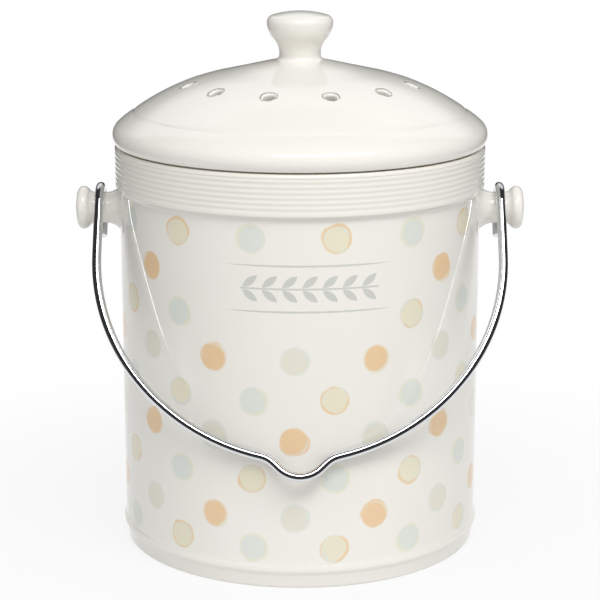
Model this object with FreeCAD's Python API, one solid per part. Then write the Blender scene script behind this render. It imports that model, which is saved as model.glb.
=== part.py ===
import FreeCAD, Part
import math
import os

# Kitchen compost bin: a glazed crock with a vented lid, a filter under the lid and a wire bail.
# Millimetres, +Z up, origin at the centre of the circle that the foot stands on.
# The bail hangs in front, towards -Y, and the lugs lie along X.

# Crock
wall_radius = 80.0
wall_thickness = 5.0
crock_height = 179.4
floor_thickness = 5.5
floor_corner = 9.0
foot_inset = 0.9
foot_round = 1.5
foot_width = 8.0
foot_recess = 1.5
ridge_height = 8.6
ridge_half_width = 2.4
ridge_proud = 0.8
band_height = 18.3
band_proud = 2.0
band_shoulder = 0.9
rib_count = 7
rib_depth = 0.3
lip_height = 1.8
rim_round = 1.2

# Lugs, measured outwards from the wall
lug_below_rim = 29.4
lug_root_radius = 9.8
lug_root_length = 6.3
lug_neck_radius = 6.9
lug_neck_length = 4.8
lug_flare_radius = 3.6
lug_head_radius = 9.6
lug_head_round = 2.8
lug_head_face = 3.6

# Wire bail, measured from the lug axis
wire_diameter = 4.0
eye_inner_diameter = 18.0
eye_tail = 7.0
bail_bow_radius = 94.75
bail_reach = 129.8
grip_drop = 6.6
grip_radius = 12.0
grip_angle = 45.0
grip_shoulder_radius = 12.0
bail_clearance = 0.3

# Lid
lid_thickness = 5.0
lid_seam = 0.5
lid_seat_width = 3.5
lid_overhang = 0.85
lid_rim_round = 6.4
lid_rim_round_height = 4.55
lid_slope_angle = 44.5
lid_slope_radius = 30.0
lid_slope_width = 8.0
lid_step_run = 2.3
lid_step_rise = 1.7
dome_rise = 18.05
dome_level_radius = 14.4
dome_cone_angle = 12.5
knob_land_radius = 13.0
skirt_depth = 11.4
skirt_thickness = 4.5
skirt_play = 1.2
skirt_round = 1.5
vent_count = 12
vent_diameter = 5.0
vent_circle_radius = 50.2

# Knob
knob_height = 21.65
knob_radius = 14.55
knob_crown = 4.8
knob_edge_round = 3.2
knob_belly_radius = 10.5
knob_neck_radius = 9.1
knob_foot_flare = 2.4

# Filter under the lid
holder_ledge = 8.6
holder_wall = 2.2
holder_flange = 2.0
holder_flange_width = 6.2
fit_clearance = 0.4
filter_thickness = 9.0
filter_play = 0.5
cover_thickness = 2.5
cover_wall = 2.0
cover_top_play = 0.3
cover_border = 6.0
slot_width = 4.0
slot_pitch = 8.0
pull_length = 44.0
pull_thickness = 3.0
pull_depth = 7.0

# Sizes that follow from the ones above
wire_radius = wire_diameter / 2
inner_radius = wall_radius - wall_thickness
foot_radius = wall_radius - foot_inset
band_radius = wall_radius + band_proud
band_bottom = crock_height - band_height
rib_floor_radius = band_radius - rib_depth
rib_pitch = (band_height - band_shoulder - lip_height) / rib_count
lug_height = crock_height - lug_below_rim
neck_start = wall_radius + lug_root_length
neck_end = neck_start + lug_neck_length
eye_radius = eye_inner_diameter / 2 + wire_radius
eye_hang = eye_inner_diameter / 2 - lug_neck_radius - bail_clearance
bail_half_width = (neck_start + neck_end) / 2
bow_depth = math.sqrt(bail_bow_radius ** 2 - (bail_bow_radius - bail_half_width) ** 2)
bail_arm = bail_reach - grip_drop - bow_depth
lid_radius = band_radius + lid_overhang
skirt_radius = inner_radius - skirt_play
skirt_inner_radius = skirt_radius - skirt_thickness
skirt_bottom = crock_height - skirt_depth
ledge_height = crock_height + holder_ledge
holder_radius = skirt_inner_radius - fit_clearance
holder_inner_radius = holder_radius - holder_wall
holder_mouth_radius = holder_inner_radius - holder_flange_width
flange_bottom = ledge_height - holder_flange
filter_bottom = flange_bottom - filter_play - filter_thickness
cover_radius = holder_inner_radius - fit_clearance
cover_inner_radius = cover_radius - cover_wall
cover_bottom = filter_bottom - cover_thickness


def polar(centre, radius, degrees):
    """Point on a circle in an outline's plane."""
    angle = math.radians(degrees)
    return (centre[0] + radius * math.cos(angle), centre[1] + radius * math.sin(angle))


def bend(centre, radius, start, end):
    """Arc of an outline as its middle and its end."""
    return (polar(centre, radius, (start + end) / 2), polar(centre, radius, end))


def wire_through(place, start, moves):
    """Wire from a start point: a point is a straight side, and a pair of points is an arc."""
    edges = []
    here = start
    for move in moves:
        if isinstance(move[0], tuple):
            middle, end = move
            edges.append(Part.Arc(place(here), place(middle), place(end)).toShape())
        else:
            end = move
            edges.append(Part.LineSegment(place(here), place(end)).toShape())
        here = end
    return Part.Wire(edges)


def turned(start, moves):
    """Solid turned about the Z axis from an outline of radius and height."""
    outline = wire_through(lambda p: FreeCAD.Vector(p[0], 0, p[1]), start, moves + [start])
    return Part.Face(outline).revolve(FreeCAD.Vector(), FreeCAD.Vector(0, 0, 1), 360)


def disc(radius, bottom, top):
    """Plain cylinder on the Z axis between two heights."""
    return Part.makeCylinder(radius, top - bottom, FreeCAD.Vector(0, 0, bottom))


def ring(inner, outer, bottom, top):
    """Plain ring on the Z axis between two heights."""
    return disc(outer, bottom, top).cut(disc(inner, bottom, top))


def save(name, shape):
    """One piece, written under its own name."""
    shape.exportStep("parts/" + name + ".step")
    print(name, "valid", shape.isValid(), "solids", len(shape.Solids), "cm3", round(shape.Volume / 1000, 2))


def crock_body():
    """Slip-cast crock: foot ring, low ridge, straight wall, ribbed band and rounded rim."""
    ridge = (ridge_half_width ** 2 + ridge_proud ** 2) / (2 * ridge_proud)
    ridge_centre = (wall_radius + ridge_proud - ridge, ridge_height)
    ridge_turn = math.degrees(math.asin(ridge_half_width / ridge))
    outside = [
        (foot_radius - foot_width, foot_recess),
        (foot_radius - foot_width, 0),
        (foot_radius - foot_round, 0),
        bend((foot_radius - foot_round, foot_round), foot_round, 270, 360),
        polar(ridge_centre, ridge, -ridge_turn),
        bend(ridge_centre, ridge, -ridge_turn, ridge_turn),
        (wall_radius, band_bottom),
        (rib_floor_radius, band_bottom + band_shoulder),
    ]
    rib_bottom = band_bottom + band_shoulder
    for rib in range(rib_count):
        crest = rib_bottom + (rib + 0.5) * rib_pitch
        outside.append(((band_radius, crest), (rib_floor_radius, crest + rib_pitch / 2)))
    lip_bottom = crock_height - lip_height
    floor_top = foot_recess + floor_thickness
    inside = [
        (band_radius, lip_bottom + rib_depth),
        (band_radius, crock_height - rim_round),
        bend((band_radius - rim_round, crock_height - rim_round), rim_round, 0, 90),
        (inner_radius + rim_round, crock_height),
        bend((inner_radius + rim_round, crock_height - rim_round), rim_round, 90, 180),
        (inner_radius, floor_top + floor_corner),
        bend((inner_radius - floor_corner, floor_top + floor_corner), floor_corner, 0, -90),
        (0, floor_top),
    ]
    return turned((0, foot_recess), outside + inside)


def lug():
    """Post on the +X side: flared root on the wall, neck for the bail's eye, mushroom head."""
    root_drop = lug_root_radius - lug_neck_radius
    root_sweep = (root_drop ** 2 + lug_root_length ** 2) / (2 * root_drop)
    root_centre = (neck_start, lug_neck_radius + root_sweep)
    root_turn = math.degrees(math.asin(lug_root_length / root_sweep))
    edge_height = lug_head_radius - lug_head_round
    both = lug_flare_radius + lug_head_round
    flare_turn = math.degrees(math.acos((lug_neck_radius + lug_flare_radius - edge_height) / both))
    flare_centre = (neck_end, lug_neck_radius + lug_flare_radius)
    edge_centre = (neck_end + both * math.sin(math.radians(flare_turn)), edge_height)
    tip = edge_centre[0] + lug_head_face
    spare = lug_head_face - lug_head_round
    face_radius = (lug_head_face ** 2 + edge_height ** 2 - lug_head_round ** 2) / (2 * spare)
    face_centre = (tip - face_radius, 0)
    face_turn = math.degrees(math.atan2(edge_height, edge_centre[0] - face_centre[0]))
    outline = wire_through(
        lambda p: FreeCAD.Vector(p[0], 0, lug_height + p[1]),
        (inner_radius, 0),
        [
            (inner_radius, lug_root_radius),
            (wall_radius, lug_root_radius),
            bend(root_centre, root_sweep, 270 - root_turn, 270),
            (neck_end, lug_neck_radius),
            bend(flare_centre, lug_flare_radius, 270, 270 + flare_turn),
            bend(edge_centre, lug_head_round, 90 + flare_turn, face_turn),
            bend(face_centre, face_radius, face_turn, 0),
            (inner_radius, 0),
        ],
    )
    axis_point = FreeCAD.Vector(0, 0, lug_height)
    post = Part.Face(outline).revolve(axis_point, FreeCAD.Vector(1, 0, 0), 360)
    return post.cut(disc(wall_radius, 0, crock_height))


def bail_outline():
    """Right half of the bail in its own plane: the bow, the shoulder and the V-shaped grip."""
    bow_centre = (bail_half_width - bail_bow_radius, bail_arm)
    grip_centre = (0, bail_reach - grip_radius)
    flank = (math.cos(math.radians(grip_angle)), -math.sin(math.radians(grip_angle)))
    flank_start = polar(grip_centre, grip_radius, 90 - grip_angle)
    across = (
        flank_start[0] + grip_shoulder_radius * -flank[1] - bow_centre[0],
        flank_start[1] + grip_shoulder_radius * flank[0] - bow_centre[1],
    )
    along = across[0] * flank[0] + across[1] * flank[1]
    tangent_distance = bail_bow_radius + grip_shoulder_radius
    excess = across[0] ** 2 + across[1] ** 2 - tangent_distance ** 2
    flank_length = -along - math.sqrt(along ** 2 - excess)
    flank_end = (flank_start[0] + flank_length * flank[0], flank_start[1] + flank_length * flank[1])
    shoulder_centre = (
        bow_centre[0] + across[0] + flank_length * flank[0],
        bow_centre[1] + across[1] + flank_length * flank[1],
    )
    bow_turn = math.degrees(
        math.atan2(shoulder_centre[1] - bow_centre[1], shoulder_centre[0] - bow_centre[0])
    )
    bow = bend(bow_centre, bail_bow_radius, 0, bow_turn)
    shoulder = bend(shoulder_centre, grip_shoulder_radius, 180 + bow_turn, 270 - grip_angle)
    return bow, shoulder, flank_end, flank_start


def resting_tilt(lean):
    """Angle from straight down at which the bail meets the wall, its plane leaning out or in."""
    bow, shoulder, flank_end, flank_start = bail_outline()
    standoff = wall_radius + wire_radius + bail_clearance
    tilts = []
    for x, s in (bow[1], shoulder[0], shoulder[1], flank_end, flank_start, (0, bail_reach)):
        out = math.sqrt(standoff ** 2 - x ** 2)
        tilts.append(math.asin(out / math.hypot(s, eye_radius)) - lean * math.atan2(eye_radius, s))
    return max(tilts)


def bail_handle():
    """One bent wire: a hooked eye round each neck, two arms, a bow and a grip in its middle."""
    tilt = resting_tilt(1)
    down = FreeCAD.Vector(0, -math.sin(tilt), -math.cos(tilt))
    ahead = FreeCAD.Vector(0, -math.cos(tilt), math.sin(tilt))
    bow, shoulder, flank_end, flank_start = bail_outline()

    def place(point):
        x, s, t = point if len(point) == 3 else (point[0], point[1], eye_radius)
        return FreeCAD.Vector(x, 0, lug_height) + down * s + ahead * t

    def mirrored(point):
        return (-point[0],) + tuple(point[1:])

    tail_end = (bail_half_width, eye_hang + eye_tail, -eye_radius)
    path = [
        mirrored((bail_half_width, eye_hang, -eye_radius)),
        (mirrored((bail_half_width, eye_hang - eye_radius, 0)), mirrored((bail_half_width, eye_hang))),
        mirrored((bail_half_width, bail_arm)),
        (mirrored(bow[0]), mirrored(bow[1])),
        (mirrored(shoulder[0]), mirrored(shoulder[1])),
        mirrored(flank_start),
        ((0, bail_reach), flank_start),
        flank_end,
        (shoulder[0], bow[1]),
        (bow[0], (bail_half_width, bail_arm)),
        (bail_half_width, eye_hang),
        ((bail_half_width, eye_hang - eye_radius, 0), (bail_half_width, eye_hang, -eye_radius)),
        tail_end,
    ]
    spine = wire_through(place, mirrored(tail_end), path)
    section = Part.Circle(place(mirrored(tail_end)), down, wire_radius)
    wire = spine.makePipe(Part.Face(Part.Wire(section.toShape())))
    print("bail tilt", round(math.degrees(tilt), 2), "back", round(math.degrees(resting_tilt(-1)), 2))
    print("bail volume over section times length", wire.Volume / (spine.Length * math.pi * wire_radius ** 2))
    return wire


def lid_shell():
    """Glazed lid: seat, skirt, rounded rim, sloped shoulder, small step, vented dome that ends in a cone."""
    rim_centre = (lid_radius - lid_rim_round, crock_height + lid_rim_round_height)
    underside = crock_height + lid_seam
    rim_start = math.degrees(math.asin((underside - rim_centre[1]) / lid_rim_round))
    slope_start = 90 - lid_slope_angle
    slope_centre = polar(rim_centre, lid_rim_round - lid_slope_radius, slope_start)
    step_radius = lid_radius - lid_slope_width
    slope_end = math.degrees(math.acos((step_radius - slope_centre[0]) / lid_slope_radius))
    step_foot = polar(slope_centre, lid_slope_radius, slope_end)
    dome_edge = (step_foot[0] - lid_step_run, step_foot[1] + lid_step_rise)
    dome_width = dome_edge[0] - dome_level_radius
    dome_radius = (dome_width ** 2 + dome_rise ** 2) / (2 * dome_rise)
    dome_centre = (dome_level_radius, dome_edge[1] + dome_rise - dome_radius)
    dome_turn = math.degrees(math.acos(dome_width / dome_radius))
    cone_turn = 90 - dome_cone_angle
    cone_slope = math.tan(math.radians(dome_cone_angle))
    cone_foot = polar(dome_centre, dome_radius, cone_turn)
    land_height = cone_foot[1] + (cone_foot[0] - knob_land_radius) * cone_slope
    hollow = dome_radius - lid_thickness
    hollow_turn = math.degrees(math.acos((holder_mouth_radius - dome_level_radius) / hollow))
    hollow_foot = polar(dome_centre, hollow, cone_turn)
    hollow_height = hollow_foot[1] + (hollow_foot[0] - knob_land_radius) * cone_slope
    seat_radius = inner_radius + lid_seat_width
    skirt_low = (skirt_inner_radius + skirt_round, skirt_bottom + skirt_round)
    skirt_high = (skirt_radius - skirt_round, skirt_bottom + skirt_round)
    lid = turned(
        (0, hollow_height),
        [
            (knob_land_radius, hollow_height),
            hollow_foot,
            bend(dome_centre, hollow, cone_turn, hollow_turn),
            (holder_mouth_radius, ledge_height),
            (skirt_inner_radius, ledge_height),
            (skirt_inner_radius, skirt_low[1]),
            bend(skirt_low, skirt_round, 180, 270),
            (skirt_high[0], skirt_bottom),
            bend(skirt_high, skirt_round, 270, 360),
            (skirt_radius, crock_height),
            (seat_radius, crock_height),
            (seat_radius + lid_seam, underside),
            polar(rim_centre, lid_rim_round, rim_start),
            bend(rim_centre, lid_rim_round, rim_start, slope_start),
            bend(slope_centre, lid_slope_radius, slope_start, slope_end),
            dome_edge,
            bend(dome_centre, dome_radius, dome_turn, cone_turn),
            (knob_land_radius, land_height),
            (0, land_height),
        ],
    )
    vent_turn = math.degrees(math.acos((vent_circle_radius - dome_level_radius) / dome_radius))
    inner_end = polar(dome_centre, hollow - lid_thickness, vent_turn)
    outer_end = polar(dome_centre, dome_radius + lid_thickness, vent_turn)
    start = FreeCAD.Vector(inner_end[0], 0, inner_end[1])
    through = FreeCAD.Vector(outer_end[0], 0, outer_end[1]) - start
    drill = Part.makeCylinder(vent_diameter / 2, through.Length, start, through)
    pitch = 360 / vent_count
    for vent in range(vent_count):
        hole = drill.copy()
        hole.rotate(FreeCAD.Vector(), FreeCAD.Vector(0, 0, 1), (vent + 0.5) * pitch - 90)
        lid = lid.cut(hole)
    return lid, land_height


def lid_knob(base):
    """Waisted knob with a rounded crown, on the flat land at the top of the dome."""
    widest = base + knob_height - knob_crown
    neck = base + knob_foot_flare
    waist_turn = 2 * math.atan2(knob_radius - knob_neck_radius, widest - neck)
    waist_radius = (widest - neck) / math.sin(waist_turn) - knob_belly_radius
    turn = math.degrees(waist_turn)
    belly_centre = (knob_radius - knob_belly_radius, widest)
    waist_centre = (knob_neck_radius + waist_radius, neck)
    flare_centre = (knob_neck_radius + knob_foot_flare, neck)
    edge_centre = (knob_radius - knob_edge_round, widest)
    spare = knob_crown - knob_edge_round
    crown_drop = (edge_centre[0] ** 2 - spare ** 2) / (2 * spare)
    crown_centre = (0, widest - crown_drop)
    crown_turn = math.degrees(math.atan2(crown_drop, edge_centre[0]))
    return turned(
        (0, base),
        [
            (knob_neck_radius + knob_foot_flare, base),
            bend(flare_centre, knob_foot_flare, 270, 180),
            bend(waist_centre, waist_radius, 180, 180 - turn),
            bend(belly_centre, knob_belly_radius, -turn, 0),
            bend(edge_centre, knob_edge_round, 0, crown_turn),
            bend(crown_centre, crown_drop + knob_crown, crown_turn, 90),
        ],
    )


def filter_holder():
    """Moulded ring against the ledge under the lid, with a flange above the filter."""
    wall = ring(holder_inner_radius, holder_radius, cover_bottom, ledge_height)
    flange = ring(holder_mouth_radius, holder_inner_radius, flange_bottom, ledge_height)
    return wall.fuse(flange).removeSplitter()


def charcoal_filter():
    """Round carbon-felt pad that lies in the cover."""
    return disc(cover_inner_radius - fit_clearance, filter_bottom, filter_bottom + filter_thickness)


def filter_cover():
    """Moulded tray with a slotted floor, a low wall that fits the holder, and a pull rib."""
    floor = disc(cover_radius, cover_bottom, filter_bottom)
    open_radius = cover_inner_radius - cover_border
    slots_each_side = int((open_radius - slot_width / 2) // slot_pitch)
    for row in range(-slots_each_side, slots_each_side + 1):
        middle = row * slot_pitch
        edge = abs(middle) + slot_width / 2
        half = math.sqrt(open_radius ** 2 - edge ** 2)
        corner = FreeCAD.Vector(-half, middle - slot_width / 2, cover_bottom)
        floor = floor.cut(Part.makeBox(2 * half, slot_width, cover_thickness, corner))
    wall = ring(cover_inner_radius, cover_radius, filter_bottom, flange_bottom - cover_top_play)
    corner = FreeCAD.Vector(-pull_thickness / 2, -pull_length / 2, cover_bottom - pull_depth)
    pull = Part.makeBox(pull_thickness, pull_length, pull_depth, corner)
    return floor.fuse([wall, pull]).removeSplitter()


os.makedirs("parts", exist_ok=True)
save("crock_body", crock_body())
right_lug = lug()
save("right_lug", right_lug)
save("left_lug", right_lug.mirror(FreeCAD.Vector(), FreeCAD.Vector(1, 0, 0)))
save("bail_handle", bail_handle())
shell, dome_top = lid_shell()
save("lid_shell", shell)
save("lid_knob", lid_knob(dome_top))
save("filter_holder", filter_holder())
save("charcoal_filter", charcoal_filter())
save("filter_cover", filter_cover())
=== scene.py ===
import bpy
import math
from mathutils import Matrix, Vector


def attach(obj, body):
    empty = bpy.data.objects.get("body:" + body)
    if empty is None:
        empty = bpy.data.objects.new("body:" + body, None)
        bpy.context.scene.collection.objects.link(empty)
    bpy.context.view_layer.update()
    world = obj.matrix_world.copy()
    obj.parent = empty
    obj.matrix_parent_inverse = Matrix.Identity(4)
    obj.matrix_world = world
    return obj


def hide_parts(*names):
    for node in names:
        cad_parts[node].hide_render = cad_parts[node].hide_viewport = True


# Kitchen compost bin, dressed over its CAD model. Metres in Blender, +Z up, lugs along X, bail at -Y.
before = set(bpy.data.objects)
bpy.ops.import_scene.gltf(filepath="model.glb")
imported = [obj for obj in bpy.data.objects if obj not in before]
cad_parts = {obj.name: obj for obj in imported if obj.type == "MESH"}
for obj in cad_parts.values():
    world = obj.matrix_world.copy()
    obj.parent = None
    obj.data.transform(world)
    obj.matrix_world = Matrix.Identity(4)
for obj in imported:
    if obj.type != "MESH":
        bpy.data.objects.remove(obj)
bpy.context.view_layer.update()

# CROCK
# Slip-cast earthenware pot with a foot ring, a low ridge and a ribbed band. Printed with rows of hand-cut
# spots before it was dipped in clear cream glaze; the foot ring is wiped bare so that it doesn't stick to
# the kiln shelf.
WALL_RADIUS = 80.0
INNER_RADIUS = 75.0
BAND_RADIUS = 82.0
BAND_BOTTOM = 160.1
RIB_BOTTOM = 162.0
RIB_PITCH = 2.2286
RIB_COUNT = 7
RIB_DEPTH = 0.16
RIB_ROWS = 8
RIM_HEIGHT = 179.4
FOOT_RECESS = 1.5
FOOT_INNER = 71.1
FOOT_OUTER = 79.1
RIDGE_RADIUS = 81.3
RIDGE_HEIGHT = 8.6
RIDGE_HALF = 2.4
FLOOR_TOP = 7.0
FLOOR_ROUND = 9.0
PRINT_INNER = 78.0
CROCK_STEPS = 360


def rounded(corners):
    """Outline in mm from corners of radius and height, each with the radius it is rounded to."""
    outline = []
    for number, (radius, height, round_off) in enumerate(corners):
        corner = Vector((radius, height))
        if round_off == 0:
            outline.append(corner)
            continue
        back = (Vector(corners[number - 1][:2]) - corner).normalized()
        ahead = (Vector(corners[number + 1][:2]) - corner).normalized()
        half = back.angle(ahead) / 2
        centre = corner + (back + ahead).normalized() * round_off / math.sin(half)
        spoke = corner + back * round_off / math.tan(half) - centre
        sweep = spoke.angle_signed(corner + ahead * round_off / math.tan(half) - centre)
        steps = max(2, round(abs(math.degrees(sweep)) / 12))
        for step in range(steps + 1):
            turn = math.atan2(spoke.y, spoke.x) - sweep * step / steps
            outline.append(centre + round_off * Vector((math.cos(turn), math.sin(turn))))
    return outline


def turned_piece(name, outline, steps):
    """Piece drawn as an outline of radius and height in mm, then spun about the Z axis."""
    bpy.ops.object.select_all(action="DESELECT")
    bpy.ops.mesh.primitive_plane_add(size=0.001)
    piece = bpy.context.object
    piece.name = name
    piece.data.name = name
    bpy.ops.object.mode_set(mode="EDIT")
    bpy.ops.mesh.select_mode(type="VERT")
    bpy.ops.mesh.select_all(action="SELECT")
    bpy.ops.mesh.merge(type="CENTER")
    bpy.ops.transform.translate(value=(outline[0][0] / 1000, 0, outline[0][1] / 1000))
    for here, there in zip(outline, outline[1:]):
        move = ((there[0] - here[0]) / 1000, 0, (there[1] - here[1]) / 1000)
        bpy.ops.mesh.extrude_region_move(TRANSFORM_OT_translate={"value": move})
    bpy.ops.object.mode_set(mode="OBJECT")
    bpy.ops.object.modifier_add(type="SCREW")
    screw = piece.modifiers[0]
    screw.steps = steps
    screw.render_steps = steps
    screw.use_merge_vertices = True
    screw.merge_threshold = 0.00002
    bpy.ops.object.modifier_apply(modifier=screw.name)
    bpy.ops.object.mode_set(mode="EDIT")
    bpy.ops.mesh.select_all(action="SELECT")
    bpy.ops.mesh.remove_doubles(threshold=0.00002)
    bpy.ops.mesh.normals_make_consistent(inside=False)
    bpy.ops.object.mode_set(mode="OBJECT")
    bpy.ops.object.shade_smooth()
    return piece


outside = [
    (0, FOOT_RECESS, 0),
    (30, FOOT_RECESS, 0),
    (68, FOOT_RECESS, 0),
    (FOOT_INNER, FOOT_RECESS, 0.8),
    (FOOT_INNER, 0, 0.5),
    (FOOT_OUTER, 0, 1.5),
    (WALL_RADIUS, RIDGE_HEIGHT - RIDGE_HALF, 2.4),
    (RIDGE_RADIUS, RIDGE_HEIGHT, 3.2),
    (WALL_RADIUS, RIDGE_HEIGHT + RIDGE_HALF, 2.4),
]
outside += [(WALL_RADIUS, height, 0) for height in range(14, 155, 10)]
outside += [(WALL_RADIUS, BAND_BOTTOM, 2.2), (BAND_RADIUS, BAND_BOTTOM + 1.7, 0.8)]
for row in range(RIB_ROWS // 2, RIB_COUNT * RIB_ROWS + 1):
    dip = (1 + math.cos(2 * math.pi * row / RIB_ROWS)) / 2
    outside.append((BAND_RADIUS - dip * RIB_DEPTH, RIB_BOTTOM + row * RIB_PITCH / RIB_ROWS, 0))
outside += [(BAND_RADIUS, 177.8, 0), (BAND_RADIUS, RIM_HEIGHT, 1.5)]
inside = [(INNER_RADIUS, RIM_HEIGHT, 1.4)]
inside += [(INNER_RADIUS, height, 0) for height in (176, 160, 130, 100, 70, 40, 18)]
inside += [(INNER_RADIUS, FLOOR_TOP, FLOOR_ROUND), (60, FLOOR_TOP, 0), (30, FLOOR_TOP, 0), (0, FLOOR_TOP, 0)]
crock = turned_piece("crock", rounded(outside + inside), CROCK_STEPS)


def linear(code):
    """Linear colour of an sRGB hex value."""
    parts = [int(code[place:place + 2], 16) / 255 for place in (1, 3, 5)]
    curve = [part / 12.92 if part <= 0.04045 else ((part + 0.055) / 1.055) ** 2.4 for part in parts]
    return (*curve, 1)


def add_node(tree, kind, inputs=(), **settings):
    """Node with its settings; an input is a value, or a node or socket that it is linked to."""
    node = tree.nodes.new(kind)
    for name, value in settings.items():
        setattr(node, name, value)
    for key, value in dict(inputs).items():
        if isinstance(value, bpy.types.Node):
            value = next(socket for socket in value.outputs if socket.enabled)
        if isinstance(value, bpy.types.NodeSocket):
            tree.links.new(value, node.inputs[key])
        else:
            node.inputs[key].default_value = value
    return node


# Cream glaze, fired glossy: a glassy coat over warm white clay. The eye gets sharp reflections of the
# lights, a slight swell in them where the coat is uneven, and a warmer tone where it lies thick.
def cream_glaze(name):
    """New material of the cream glaze: its node tree, shader, place in mm and colour."""
    material = bpy.data.materials.new(name)
    material.use_nodes = True
    tree = material.node_tree
    shader = tree.nodes["Principled BSDF"]
    shader.inputs["IOR"].default_value = 1.52
    coordinates = add_node(tree, "ShaderNodeTexCoord")
    place = add_node(
        tree, "ShaderNodeVectorMath", {0: coordinates.outputs["Object"], "Scale": 1000}, operation="SCALE"
    )
    drift = add_node(tree, "ShaderNodeTexNoise", {"Vector": place, "Scale": 1 / 45, "Detail": 2})
    colour = add_node(
        tree,
        "ShaderNodeMix",
        {0: drift, 6: linear("#F0EEE8"), 7: linear("#EDEAE2")},
        data_type="RGBA",
    )
    swell = add_node(tree, "ShaderNodeTexNoise", {"Vector": place, "Scale": 1 / 14, "Detail": 1})
    bump = add_node(tree, "ShaderNodeBump", {"Height": swell, "Strength": 0.12, "Distance": 0.0003})
    tree.links.new(bump.outputs[0], shader.inputs["Normal"])
    grain = add_node(tree, "ShaderNodeTexNoise", {"Vector": place, "Scale": 1 / 3, "Detail": 2})
    rough = add_node(tree, "ShaderNodeMapRange", {0: grain, 3: 0.012, 4: 0.03})
    tree.links.new(rough.outputs[0], shader.inputs["Roughness"])
    return material, tree, shader, place, colour


# Spots, cut by hand and printed under the glaze: two overlapping washes of pale colour with a thin brush
# line round some of them, in rows set half a step apart.
SPOT_ROW_PITCH = 17.2
SPOT_FIRST_ROW = 14.3
SPOT_LOW_EDGE = 24.7
SPOT_LOW_LIFT = 3.7
SPOT_COLUMN_PITCH = math.radians(25.2)
SPOT_COLUMN_START = math.radians(-1.8)
SPOT_FILL_EDGE = (6.3, 4.8)
SPOT_UNDER_EDGE = (6.9, 5.2)
SPOT_LINE_RADIUS = 5.85
printed_glaze, tree, shader, place, colour = cream_glaze("printed_cream_glaze")
axes = add_node(tree, "ShaderNodeSeparateXYZ", {0: place})
height = axes.outputs["Z"]
ahead = add_node(tree, "ShaderNodeMath", {0: axes.outputs["Y"], 1: -1}, operation="MULTIPLY")
angle = add_node(tree, "ShaderNodeMath", {0: axes.outputs["X"], 1: ahead}, operation="ARCTAN2")
low = add_node(tree, "ShaderNodeMath", {0: height, 1: SPOT_LOW_EDGE}, operation="LESS_THAN")
not_low = add_node(tree, "ShaderNodeMath", {0: 1, 1: low}, operation="SUBTRACT")
rise = add_node(tree, "ShaderNodeMath", {0: height, 1: SPOT_FIRST_ROW}, operation="SUBTRACT")
rows_up = add_node(tree, "ShaderNodeMath", {0: rise, 1: SPOT_ROW_PITCH}, operation="DIVIDE")
nearest_row = add_node(tree, "ShaderNodeMath", {0: rows_up}, operation="ROUND")
row = add_node(tree, "ShaderNodeMath", {0: nearest_row, 1: not_low}, operation="MULTIPLY")
row_height = add_node(
    tree, "ShaderNodeMath", {0: row, 1: SPOT_ROW_PITCH, 2: SPOT_FIRST_ROW}, operation="MULTIPLY_ADD"
)
spot_height = add_node(
    tree, "ShaderNodeMath", {0: low, 1: SPOT_LOW_LIFT, 2: row_height}, operation="MULTIPLY_ADD"
)
up = add_node(tree, "ShaderNodeMath", {0: height, 1: spot_height}, operation="SUBTRACT")
odd_row = add_node(tree, "ShaderNodeMath", {0: row, 1: 2}, operation="FLOORED_MODULO")
half_step = add_node(tree, "ShaderNodeMath", {0: odd_row, 1: -0.5, 2: 0.5}, operation="MULTIPLY_ADD")
from_start = add_node(tree, "ShaderNodeMath", {0: angle, 1: SPOT_COLUMN_START}, operation="SUBTRACT")
columns_on = add_node(tree, "ShaderNodeMath", {0: from_start, 1: SPOT_COLUMN_PITCH}, operation="DIVIDE")
in_row = add_node(tree, "ShaderNodeMath", {0: columns_on, 1: half_step}, operation="SUBTRACT")
column = add_node(tree, "ShaderNodeMath", {0: in_row}, operation="ROUND")
off_column = add_node(tree, "ShaderNodeMath", {0: in_row, 1: column}, operation="SUBTRACT")
along = add_node(
    tree, "ShaderNodeMath", {0: off_column, 1: SPOT_COLUMN_PITCH * WALL_RADIUS}, operation="MULTIPLY"
)
row_pair = add_node(tree, "ShaderNodeMath", {0: row, 1: 0.5}, operation="MULTIPLY")
pair = add_node(tree, "ShaderNodeMath", {0: row_pair}, operation="FLOOR")
diagonal = add_node(tree, "ShaderNodeMath", {0: column, 1: pair}, operation="ADD")
other = add_node(tree, "ShaderNodeMath", {0: diagonal, 1: 2}, operation="FLOORED_MODULO")
kind_in_row = add_node(tree, "ShaderNodeMath", {0: other, 1: 0.25, 2: 0.125}, operation="MULTIPLY_ADD")
kind = add_node(tree, "ShaderNodeMath", {0: odd_row, 1: 0.5, 2: kind_in_row}, operation="MULTIPLY_ADD")
cell = add_node(tree, "ShaderNodeCombineXYZ", {0: column, 1: row})
dice = add_node(tree, "ShaderNodeTexWhiteNoise", {"Vector": cell}, noise_dimensions="2D")
throw = add_node(
    tree, "ShaderNodeVectorMath", {0: dice.outputs["Color"], 1: (0.5, 0.5, 0.5)}, operation="SUBTRACT"
)
slip = add_node(tree, "ShaderNodeVectorMath", {0: throw, 1: (1.2, 1.2, 0)}, operation="MULTIPLY")
from_spot = add_node(tree, "ShaderNodeCombineXYZ", {0: along, 1: up})
wobble = add_node(tree, "ShaderNodeTexNoise", {"Vector": place, "Scale": 1 / 7, "Detail": 1})
wobbled = add_node(tree, "ShaderNodeMapRange", {0: wobble, 1: 0.25, 2: 0.75, 3: -0.45, 4: 0.45})
fill_reach = add_node(tree, "ShaderNodeVectorMath", {0: from_spot}, operation="LENGTH")
fill_edge = add_node(
    tree, "ShaderNodeMath", {0: fill_reach.outputs["Value"], 1: wobbled}, operation="ADD"
)
fill = add_node(
    tree,
    "ShaderNodeMapRange",
    {0: fill_edge, 1: SPOT_FILL_EDGE[0], 2: SPOT_FILL_EDGE[1]},
    interpolation_type="SMOOTHSTEP",
)
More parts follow.
